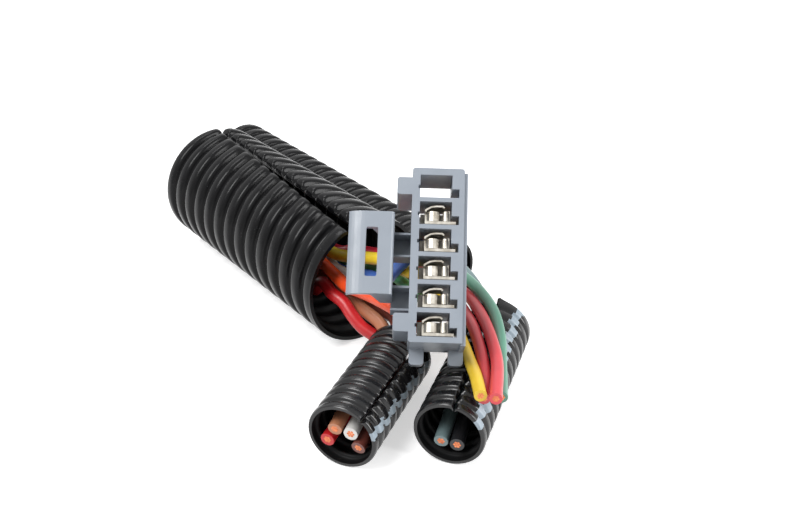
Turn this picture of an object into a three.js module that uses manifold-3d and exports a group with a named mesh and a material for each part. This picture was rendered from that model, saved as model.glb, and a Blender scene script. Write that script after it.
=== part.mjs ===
// Six-way connector end of a vehicle wiring harness, in millimetres, +Z up.
// Four runs of split corrugated loom lie on the surface, coloured wires come out of them,
// and a moulded connector housing with a side lock lever leans back over the crossing.
import * as THREE from 'three';
import { mergeVertices } from 'three/addons/utils/BufferGeometryUtils.js';
import Module from 'manifold-3d';

const wasm = await Module();
wasm.setup();

// Driving dimensions: clearances
const GAP = 0.3;
const OVERLAP = 0.4;

// Driving dimensions: connector housing (x right, y up its face, z out of its front)
const CAVITY_COUNT = 6;
const CAVITY_PITCH = 7.84;
const CAVITY_LEFT_WIDTH = 4.95;
const CAVITY_RIGHT_WIDTH = 3.95;
const CAVITY_HEIGHT = 6.6;
const BASE_SLOT_HEIGHT = 2.55;
const BASE_SLOT_EXTRA = 2.0;
const LANCE_NOTCH = 0.5;
const HOUSING_DEPTH = 15;
const FACE_RISE = 0.25;
const SIDE_WALL = 2.2;
const RIGHT_WALL = 1.45;
const TOP_WALL = 2.0;
const BOTTOM_WALL = 1.6;
const CORNER_CHAMFER = 0.5;
const REAR_POCKET_DEPTH = 3.5;
const REAR_SKIRT = 1.2;
const RAIL_WIDTH = 0.95;
const RAIL_SETBACK = 0.9;
const TAB_WIDTH = 4.2;
const TAB_HEIGHT = 5.0;
const TAB_FROM_TOP = 2.9;
const TAB_FROM_BOTTOM = 2.8;
const TAB_CORNER = 0.8;
const FOOT_WIDTH = 4.1;
const FOOT_LENGTH = 4.4;
const FOOT_THICKNESS = 3.5;
const FOOT_SETBACK = 10.7;
const FOOT_CORNER = 1.0;

// Driving dimensions: lock lever beside the housing
const LEVER_GAP = 4.65;
const LEVER_WIDTH = 12.6;
const LEVER_HEIGHT = 23.4;
const LEVER_TOP_DROP = 13.1;
const LEVER_THICKNESS = 1.8;
const LEVER_BLOCK_WIDTH = 6.0;
const LEVER_BLOCK_DEPTH = 11.5;
const LEVER_SLOT_WIDTH = 3.3;
const LEVER_SLOT_HEIGHT = 14;
const LEVER_SLOT_DROP = 4.6;
const LEVER_SLOT_INSET = 4.4;
const SLOT_CORNER = 0.5;
const LEVER_SWEEP = 1.3;
const SWEEP_BEND = 0.15;
const SWEEP_END = 0.35;
const BLOCK_TAPER = 0.55;
const LEVER_CORNER = 1.1;
const ARM_HEIGHT = 7.0;
const ARM_SETBACK = 4.5;
const ARM_DEPTH = 6.7;
const ARM_WALL = 0.6;
const UPPER_ARM_DROP = 4.7;
const LOWER_ARM_DROP = 19.9;

// Driving dimensions: terminals
const SHEET = 0.45;
const BASE_PLATE = 0.8;
const TERMINAL_SETBACK = 0.6;
const TERMINAL_LENGTH = 8.7;
const BOX_INSET = 1.5;
const BOX_WIDTH = 7.0;
const SIDE_SETBACK = 2.0;
const SIDE_HEIGHT = 4.4;
const HOOK_HEIGHT = 1.3;
const PLATE_CLEARANCE = 0.85;
const SPRING_LIFT = 0.26;
const SPRING_HEIGHT = 2.75;
const SPRING_SETBACK = 0.4;
const LEFT_SPRING_RADIUS = 1.72;
const RIGHT_SPRING_RADIUS = 0.64;
const SPRING_SINK = 0.12;
const SPRING_LENGTH = 6;
const SPRING_PINCH = 0.5;
const BEND_STEPS = 6;
const CRIMP_STEPS = 8;
const LEAF_HEIGHT = 5.12;
const LEAF_SHOULDER = 1.75;
const LEAF_FLAT = 3.15;
const LEAF_FALL = 4.9;
const LEAF_END = 5.4;
const LEAF_LENGTH = 5;
const STOP_HEIGHT = 5.3;
const STOP_INSET = 0.35;
const CRIMP_LENGTH = 3.2;
const CRIMP_OPENING = 52;

// Driving dimensions: wires and split corrugated looms
const WIRE = 4.0;
const THIN_WIRE = 3.5;
const WIRE_SIDES = 8;
const WIRE_SECTIONS = 2;
const WIRE_AXIS_X = -0.5;
const TRUNK_RADIUS = 21.5;
const SECOND_RADIUS = 12.5;
const BRANCH_RADIUS = 10.2;
const TRUNK_PITCH = 7.0;
const SECOND_PITCH = 6.8;
const BRANCH_PITCH = 4.35;
const TRUNK_RIBS = 13;
const SECOND_RIBS = 19;
const LEFT_BRANCH_RIBS = 9;
const RIGHT_BRANCH_RIBS = 12;
const CREST_SHARE = 0.62;
const CREST_BORE = 1.7;

// Driving dimensions: how the pieces lie
const HOUSING_FORWARD = 1.25;
const HOUSING_LEAN = 45;
const HOUSING_ROLL = -2;
const TRUNK_HEADING = 128.36;
const TRUNK_MOUTH = [-20.8, 36.7];
const SECOND_AHEAD = -1.7;
const SECOND_SLIT = 150;
const LEFT_BRANCH_HEADING = -112.5;
const LEFT_BRANCH_MOUTH = [-9.8, 12.1];
const RIGHT_BRANCH_HEADING = -109.6;
const RIGHT_BRANCH_MOUTH = [21.5, 26.2];

const DEGREE = Math.PI / 180;
const TURN = 360;

// Finishes
const nylonGrey = new THREE.MeshStandardMaterial({ color: 0xa3aab4, roughness: 0.45, metalness: 0 });
const tinPlate = new THREE.MeshStandardMaterial({ color: 0xd9d2c2, roughness: 0.28, metalness: 1 });
const loomBlack = new THREE.MeshStandardMaterial({ color: 0x1b1c1f, roughness: 0.42, metalness: 0 });
const wireFinish = (color) => new THREE.MeshStandardMaterial({ color, roughness: 0.4, metalness: 0 });

// Joins and cuts work on merged position-only meshes.
function toSolid(geometry) {
  const bare = geometry.index ? geometry.clone() : geometry;
  bare.deleteAttribute('normal');
  bare.deleteAttribute('uv');
  const merged = mergeVertices(bare, 1e-4);
  return new wasm.Manifold(new wasm.Mesh({
    numProp: 3,
    vertProperties: new Float32Array(merged.attributes.position.array),
    triVerts: new Uint32Array(merged.index.array),
  }));
}

function toGeometry(solid) {
  const mesh = solid.getMesh();
  const geometry = new THREE.BufferGeometry();
  geometry.setAttribute('position', new THREE.BufferAttribute(mesh.vertProperties, 3));
  geometry.setIndex(new THREE.BufferAttribute(mesh.triVerts, 1));
  geometry.computeVertexNormals();
  return geometry;
}

function polygon(points) {
  return new THREE.Shape(points.map(([x, y]) => new THREE.Vector2(x, y)));
}

// A face outline pushed back from zFront to zBack.
function slab(shape, zFront, zBack, curveSegments = 4) {
  const geometry = new THREE.ExtrudeGeometry(shape, {
    depth: zFront - zBack,
    bevelEnabled: false,
    curveSegments,
  });
  geometry.translate(0, 0, zBack);
  return toSolid(geometry);
}

function box(x0, x1, y0, y1, zFront, zBack) {
  return slab(polygon([[x0, y0], [x1, y0], [x1, y1], [x0, y1]]), zFront, zBack);
}

// Rectangle with a radius on the corners named in round: tl, tr, bl, br.
function roundedShape(x0, x1, y0, y1, radius, round) {
  const r = (corner) => (round.includes(corner) ? radius : 0);
  const shape = new THREE.Shape();
  shape.moveTo(x0 + r('bl'), y0);
  shape.lineTo(x1 - r('br'), y0);
  if (r('br')) shape.absarc(x1 - radius, y0 + radius, radius, -Math.PI / 2, 0);
  shape.lineTo(x1, y1 - r('tr'));
  if (r('tr')) shape.absarc(x1 - radius, y1 - radius, radius, 0, Math.PI / 2);
  shape.lineTo(x0 + r('tl'), y1);
  if (r('tl')) shape.absarc(x0 + radius, y1 - radius, radius, Math.PI / 2, Math.PI);
  shape.lineTo(x0, y0 + r('bl'));
  if (r('bl')) shape.absarc(x0 + radius, y0 + radius, radius, Math.PI, 1.5 * Math.PI);
  return shape;
}

// Places worked out from the sizes above, in the housing's own frame
const housingLeft = -(CAVITY_LEFT_WIDTH + SIDE_WALL);
const housingRight = CAVITY_RIGHT_WIDTH + BASE_SLOT_EXTRA + RIGHT_WALL;
const cavityStack = (CAVITY_COUNT - 1) * CAVITY_PITCH + CAVITY_HEIGHT;
const housingTop = (cavityStack + TOP_WALL + BOTTOM_WALL) / 2 + FACE_RISE;
const housingBottom = housingTop - TOP_WALL - cavityStack - BOTTOM_WALL;
const railRight = housingRight + RAIL_WIDTH;
const ceilingOf = (row) => housingTop - TOP_WALL - row * CAVITY_PITCH;
const leverRight = housingLeft - LEVER_GAP;
const leverLeft = leverRight - LEVER_WIDTH;
const leverTop = housingTop - LEVER_TOP_DROP;

// L-shaped cavity: the lower slot takes the terminal's wide base plate.
function cavityOutline(row) {
  const top = ceilingOf(row);
  const floor = top - CAVITY_HEIGHT;
  const step = floor + BASE_SLOT_HEIGHT;
  const left = -CAVITY_LEFT_WIDTH;
  const right = CAVITY_RIGHT_WIDTH;
  return polygon([
    [left, floor], [right + BASE_SLOT_EXTRA, floor], [right + BASE_SLOT_EXTRA, step], [right, step],
    [right, top], [left, top], [left, step + 2 * LANCE_NOTCH], [left - LANCE_NOTCH, step + 2 * LANCE_NOTCH],
    [left - LANCE_NOTCH, step], [left, step],
  ]);
}

function housingBody() {
  const c = CORNER_CHAMFER;
  const body = slab(polygon([
    [housingLeft + c, housingBottom], [housingRight, housingBottom], [housingRight, housingTop - c],
    [housingRight - c, housingTop], [housingLeft + c, housingTop], [housingLeft, housingTop - c],
    [housingLeft, housingBottom + c],
  ]), 0, -HOUSING_DEPTH);
  const rail = box(housingRight - OVERLAP, railRight, housingBottom - c, housingTop - 2 * c,
    -RAIL_SETBACK, -HOUSING_DEPTH);
  return body.add(rail);
}

// The rear is a shallow pocket, open at the top, that the wires pass through.
function rearPocket() {
  return box(housingLeft + REAR_SKIRT, housingRight - REAR_SKIRT, housingBottom + BOTTOM_WALL,
    housingTop + OVERLAP, REAR_POCKET_DEPTH - HOUSING_DEPTH, -HOUSING_DEPTH - OVERLAP);
}

function sideTabs() {
  const tab = (yTop) => slab(
    roundedShape(housingLeft - TAB_WIDTH, housingLeft + OVERLAP, yTop - TAB_HEIGHT, yTop, TAB_CORNER, ['tl', 'bl']),
    0, -HOUSING_DEPTH,
  );
  const upper = tab(housingTop - TAB_FROM_TOP);
  const lower = tab(housingBottom + TAB_FROM_BOTTOM + TAB_HEIGHT);
  return upper.add(lower);
}

function feet() {
  const foot = (x0) => slab(
    roundedShape(x0, x0 + FOOT_WIDTH, housingBottom - FOOT_LENGTH, housingBottom + OVERLAP, FOOT_CORNER, ['bl', 'br']),
    -FOOT_SETBACK, -FOOT_SETBACK - FOOT_THICKNESS,
  );
  return foot(housingLeft + CORNER_CHAMFER).add(foot(railRight - FOOT_WIDTH));
}

// Lever plate seen from above: a thin finger tab swept back at its free edge, and a deep block.
function leverPlate() {
  const section = new THREE.Shape();
  section.moveTo(leverLeft, -LEVER_SWEEP);
  section.quadraticCurveTo(leverLeft + LEVER_WIDTH * SWEEP_BEND, 0, leverLeft + LEVER_WIDTH * SWEEP_END, 0);
  section.lineTo(leverRight - LEVER_CORNER, 0);
  section.absarc(leverRight - LEVER_CORNER, -LEVER_CORNER, LEVER_CORNER, Math.PI / 2, 0, true);
  section.lineTo(leverRight, -LEVER_BLOCK_DEPTH);
  section.lineTo(leverRight - LEVER_BLOCK_WIDTH * BLOCK_TAPER, -LEVER_BLOCK_DEPTH);
  section.lineTo(leverRight - LEVER_BLOCK_WIDTH, -LEVER_THICKNESS);
  section.lineTo(leverLeft + LEVER_WIDTH * SWEEP_END, -LEVER_THICKNESS);
  section.quadraticCurveTo(leverLeft + LEVER_WIDTH * SWEEP_BEND, -LEVER_THICKNESS, leverLeft, -LEVER_SWEEP - LEVER_THICKNESS);
  const geometry = new THREE.ExtrudeGeometry(section, { depth: LEVER_HEIGHT, bevelEnabled: false, curveSegments: 5 });
  geometry.rotateX(Math.PI / 2);
  geometry.translate(0, leverTop, 0);
  return toSolid(geometry);
}

function leverSlot() {
  const left = leverRight - LEVER_SLOT_INSET - LEVER_SLOT_WIDTH;
  const top = leverTop - LEVER_SLOT_DROP;
  return slab(
    roundedShape(left, left + LEVER_SLOT_WIDTH, top - LEVER_SLOT_HEIGHT, top, SLOT_CORNER, ['tl', 'tr', 'bl', 'br']),
    OVERLAP, -LEVER_BLOCK_DEPTH - OVERLAP, 2,
  );
}

// A bridge arm is a short channel, open to the front, between the lever and the housing.
function bridgeArm(drop) {
  const top = leverTop - drop;
  const arm = box(leverRight - OVERLAP, housingLeft + OVERLAP, top - ARM_HEIGHT, top,
    -ARM_SETBACK, -ARM_SETBACK - ARM_DEPTH);
  const channel = box(leverRight - 2 * OVERLAP, housingLeft + 2 * OVERLAP, top - ARM_HEIGHT + ARM_WALL,
    top - ARM_WALL, 0, -ARM_SETBACK - ARM_DEPTH + ARM_WALL);
  return arm.subtract(channel);
}

function housingGeometry() {
  let housing = housingBody().add(sideTabs()).add(feet());
  for (let row = 0; row < CAVITY_COUNT; row += 1) {
    housing = housing.subtract(slab(cavityOutline(row), OVERLAP, -HOUSING_DEPTH - OVERLAP));
  }
  housing = housing.subtract(rearPocket());
  const lever = leverPlate().subtract(leverSlot());
  housing = housing.add(lever).add(bridgeArm(UPPER_ARM_DROP)).add(bridgeArm(LOWER_ARM_DROP));
  return toGeometry(housing);
}

// Outline of a bent sheet of the given thickness that follows a path of points.
function bentSheet(path, thickness) {
  const side = (sign) => path.map((point, i) => {
    const before = path[Math.max(i - 1, 0)];
    const after = path[Math.min(i + 1, path.length - 1)];
    const a = point.clone().sub(before).normalize();
    const b = after.clone().sub(point).normalize();
    if (i === 0) a.copy(b);
    if (i === path.length - 1) b.copy(a);
    const bisector = a.clone().add(b).normalize();
    const reach = (sign * thickness) / 2 / Math.max(bisector.dot(a), 0.5);
    return new THREE.Vector2(point.x - bisector.y * reach, point.y + bisector.x * reach);
  });
  return new THREE.Shape([...side(-1), ...side(1).reverse()]);
}

function arcPoints(cx, cy, radius, fromDegrees, toDegrees, steps) {
  return Array.from({ length: steps + 1 }, (_, i) => {
    const angle = (fromDegrees + ((toDegrees - fromDegrees) * i) / steps) * DEGREE;
    return new THREE.Vector2(cx + radius * Math.cos(angle), cy + radius * Math.sin(angle));
  });
}

// A sheet that stands on its edge: its path is drawn from above, as [x, depth] points.
function uprightSheet(path, bottom, height) {
  const geometry = new THREE.ExtrudeGeometry(bentSheet(path, SHEET), { depth: height, bevelEnabled: false });
  geometry.rotateX(Math.PI / 2);
  geometry.translate(0, bottom + height, 0);
  return toSolid(geometry);
}

// Hairpin contact spring: rooted in a side wall, it runs forward, round a bow and back to a free
// leg that leans inwards.
function hairpin(x, radius, front, bottom, rootOnLeft) {
  const middle = front - SHEET / 2 - radius;
  const end = front - SPRING_LENGTH;
  const pinched = radius * (1 - SPRING_PINCH);
  const path = [
    new THREE.Vector2(x - (rootOnLeft ? radius : pinched), end),
    ...arcPoints(x, middle, radius, TURN / 2, 0, BEND_STEPS),
    new THREE.Vector2(x + (rootOnLeft ? pinched : radius), end),
  ];
  return uprightSheet(path, bottom, SPRING_HEIGHT);
}

// A receptacle terminal: base plate hooked up on its left, two hairpin springs between the side
// walls, a leaf arched over them, a stop wall behind, and a crimp round the wire at the back.
// Its frame is the housing's.
function terminalGeometry(row) {
  const floor = ceilingOf(row) - CAVITY_HEIGHT;
  const front = -TERMINAL_SETBACK;
  const back = front - TERMINAL_LENGTH;
  const left = -CAVITY_LEFT_WIDTH + BOX_INSET;
  const right = left + BOX_WIDTH;
  const under = floor + GAP;
  const plateTop = under + BASE_PLATE;
  const plate = box(left, CAVITY_RIGHT_WIDTH + BASE_SLOT_EXTRA - PLATE_CLEARANCE, under, plateTop, front, back);
  const hook = box(left, left + SHEET, under, under + HOOK_HEIGHT, front, back);
  const leftWall = box(left, left + SHEET, under, under + SIDE_HEIGHT, front - SIDE_SETBACK, back);
  const rightWall = box(right - SHEET, right, under, under + SIDE_HEIGHT, front - SIDE_SETBACK, back);
  const stop = box(-CAVITY_LEFT_WIDTH + STOP_INSET, CAVITY_RIGHT_WIDTH - STOP_INSET, under, under + STOP_HEIGHT,
    back + SHEET, back);

  const springBottom = plateTop + SPRING_LIFT;
  const springFront = front - SPRING_SETBACK;
  const leftSpring = hairpin(left + SHEET + LEFT_SPRING_RADIUS + SPRING_SINK, LEFT_SPRING_RADIUS,
    springFront, springBottom, true);
  const rightSpring = hairpin(right - SHEET - RIGHT_SPRING_RADIUS - SPRING_SINK, RIGHT_SPRING_RADIUS,
    springFront, springBottom, false);

  const leafPath = [
    [left + SHEET / 2, under + SIDE_HEIGHT - OVERLAP - SHEET],
    [left + SHEET / 2, under + SIDE_HEIGHT - OVERLAP],
    [left + LEAF_SHOULDER, under + LEAF_HEIGHT - SHEET / 2],
    [left + LEAF_FLAT, under + LEAF_HEIGHT],
    [left + LEAF_FALL, under + LEAF_HEIGHT],
    [left + LEAF_END, under + LEAF_HEIGHT - SHEET],
  ].map(([x, y]) => new THREE.Vector2(x, y));
  const leaf = slab(bentSheet(leafPath, SHEET), front, front - LEAF_LENGTH);

  const crimpInner = WIRE / 2 + GAP;
  const wireY = ceilingOf(row) - CAVITY_HEIGHT / 2;
  const crimp = slab(
    bentSheet(arcPoints(WIRE_AXIS_X, wireY, crimpInner + SHEET / 2, TURN / 4 + CRIMP_OPENING,
      TURN / 4 + TURN - CRIMP_OPENING, CRIMP_STEPS), SHEET),
    back + OVERLAP, back - CRIMP_LENGTH,
  );
  const tongue = box(WIRE_AXIS_X - WIRE / 4, WIRE_AXIS_X + WIRE / 4, under, wireY - crimpInner - SHEET / 2,
    back + OVERLAP, back - CRIMP_LENGTH);
  return toGeometry([hook, leftWall, rightWall, stop, leftSpring, rightSpring, leaf, crimp, tongue]
    .reduce((joined, piece) => joined.add(piece), plate));
}

// Corrugated wall of a loom as a closed outline of [along, radius] points: a flat-crested rib and a
// V groove at each pitch. The bore follows the ribs in the wide trunk and is plain in the others.
function loomWall({ radius, pitch, ribs, groove, wall, ribbedBore }) {
  const outer = [];
  const inner = [];
  const bore = radius - groove - wall;
  const crestBore = ribbedBore ? radius - CREST_BORE * wall : bore;
  for (let rib = 0; rib < ribs; rib += 1) {
    const start = rib * pitch;
    const valley = start + ((1 + CREST_SHARE) / 2) * pitch;
    outer.push([start, radius], [start + CREST_SHARE * pitch, radius], [valley, radius - groove]);
    if (ribbedBore && rib > 0) inner.push([start + (CREST_SHARE / 2) * pitch, crestBore]);
    if (ribbedBore) inner.push([valley, bore]);
  }
  const end = (ribs + CREST_SHARE) * pitch;
  outer.push([ribs * pitch, radius], [end, radius]);
  inner.unshift([0, crestBore]);
  inner.push([end, crestBore]);
  return [...outer, ...inner.reverse()];
}

// The wall swept round the loom's own +X axis from one lip of the slit to the other. Angles are
// measured from the top towards -Y. The slit may wander and narrow along the loom.
function loomGeometry(loom) {
  const outline = loomWall(loom);
  const length = (loom.ribs + CREST_SHARE) * loom.pitch;
  const count = outline.length;
  const positions = [];
  const index = [];
  for (let j = 0; j <= loom.sides; j += 1) {
    for (const [along, radius] of outline) {
      const share = along / length;
      const slit = (loom.slitFrom + (loom.slitTo - loom.slitFrom) * share) * DEGREE;
      const half = (loom.slitGap + (loom.slitGapEnd - loom.slitGap) * share) / (2 * loom.radius);
      const angle = slit + half + (2 * Math.PI - 2 * half) * (j / loom.sides);
      positions.push(along, -radius * Math.sin(angle), radius * Math.cos(angle));
    }
  }
  for (let j = 0; j < loom.sides; j += 1) {
    for (let i = 0; i < count; i += 1) {
      const a = j * count + i;
      const b = j * count + ((i + 1) % count);
      index.push(a, a + count, b, b, a + count, b + count);
    }
  }
  const cap = THREE.ShapeUtils.triangulateShape(outline.map(([x, y]) => new THREE.Vector2(x, y)), []);
  const last = loom.sides * count;
  for (const [a, b, c] of cap) {
    index.push(a, c, b);
    index.push(last + a, last + b, last + c);
  }
  const geometry = new THREE.BufferGeometry();
  geometry.setAttribute('position', new THREE.Float32BufferAttribute(positions, 3));
  geometry.setIndex(index);
  geometry.computeVertexNormals();
  return geometry;
}

// A wire is a round section swept along a smooth curve through its chosen points. The points lie
// closer together where it bends, so sections are spaced by point rather than by length.
function wireGeometry(points, diameter) {
  const curve = new THREE.CatmullRomCurve3(points.map((p) => new THREE.Vector3(...p)));
  curve.getUtoTmapping = (u) => u;
  const section = new THREE.Shape(
    Array.from({ length: WIRE_SIDES }, (_, i) => {
      const angle = (2 * Math.PI * i) / WIRE_SIDES;
      return new THREE.Vector2((diameter / 2) * Math.cos(angle), (diameter / 2) * Math.sin(angle));
    }),
  );
  return new THREE.ExtrudeGeometry(section, {
    steps: (points.length - 1) * WIRE_SECTIONS,
    extrudePath: curve,
    bevelEnabled: false,
  });
}

const group = new THREE.Group();

function addPiece(parent, name, geometry, material) {
  const mesh = new THREE.Mesh(geometry, material);
  mesh.name = name;
  parent.add(mesh);
  return mesh;
}

// Connector: the housing leans back on the two branch looms, and five terminals fill its lower cavities.
// Its height follows from the right foot, which stands just clear of the right branch.
const lean = HOUSING_LEAN * DEGREE;
const housingHeight = 2 * BRANCH_RADIUS + GAP + (FOOT_LENGTH - housingBottom) * Math.sin(lean)
  + (FOOT_SETBACK + FOOT_THICKNESS) * Math.cos(lean);
const connector = new THREE.Group();
connector.position.set(0, HOUSING_FORWARD, housingHeight);
connector.rotation.set(lean, 0, HOUSING_ROLL * DEGREE);
group.add(connector);
addPiece(connector, 'connector_housing', housingGeometry(), nylonGrey);
for (let row = 1; row < CAVITY_COUNT; row += 1) {
  addPiece(connector, `terminal_${row + 1}`, terminalGeometry(row), tinPlate);
}

// Looms lie on the surface, each turned to its heading about its mouth.
function addLoom(name, loom) {
  const mesh = addPiece(group, name, loomGeometry(loom), loomBlack);
  mesh.position.set(loom.mouth[0], loom.mouth[1], loom.radius);
  mesh.rotation.z = loom.heading * DEGREE;
  return mesh;
}

const trunk = {
  radius: TRUNK_RADIUS, pitch: TRUNK_PITCH, ribs: TRUNK_RIBS, groove: 2.2, wall: 0.9, sides: 22, ribbedBore: true,
  slitFrom: -12, slitTo: 11, slitGap: 2.4, slitGapEnd: 0.8,
  mouth: TRUNK_MOUTH, heading: TRUNK_HEADING,
};
addLoom('trunk_loom', trunk);

// The second loom lies against the trunk on its right, so its axis follows from both radii.
const beside = 2 * Math.sqrt((TRUNK_RADIUS + GAP / 2) * (SECOND_RADIUS + GAP / 2));
const cosine = Math.cos(TRUNK_HEADING * DEGREE);
const sine = Math.sin(TRUNK_HEADING * DEGREE);
const SECOND_MOUTH = [
  TRUNK_MOUTH[0] + beside * sine + SECOND_AHEAD * cosine,
  TRUNK_MOUTH[1] - beside * cosine + SECOND_AHEAD * sine,
];
addLoom('second_loom', {
  radius: SECOND_RADIUS, pitch: SECOND_PITCH, ribs: SECOND_RIBS, groove: 1.5, wall: 0.8, sides: 15,
  slitFrom: SECOND_SLIT, slitTo: SECOND_SLIT, slitGap: 1.2, slitGapEnd: 0.8,
  mouth: SECOND_MOUTH, heading: TRUNK_HEADING,
});

const branch = { radius: BRANCH_RADIUS, pitch: BRANCH_PITCH, groove: 1.2, wall: 0.7, sides: 14 };
addLoom('left_branch_loom', {
  ...branch, ribs: LEFT_BRANCH_RIBS, slitFrom: -44, slitTo: -40, slitGap: 0.9, slitGapEnd: 0.6,
  mouth: LEFT_BRANCH_MOUTH, heading: LEFT_BRANCH_HEADING,
});
addLoom('right_branch_loom', {
  ...branch, ribs: RIGHT_BRANCH_RIBS, slitFrom: 8, slitTo: -8, slitGap: 1.2, slitGapEnd: 0.6,
  mouth: RIGHT_BRANCH_MOUTH, heading: RIGHT_BRANCH_HEADING,
});

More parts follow.
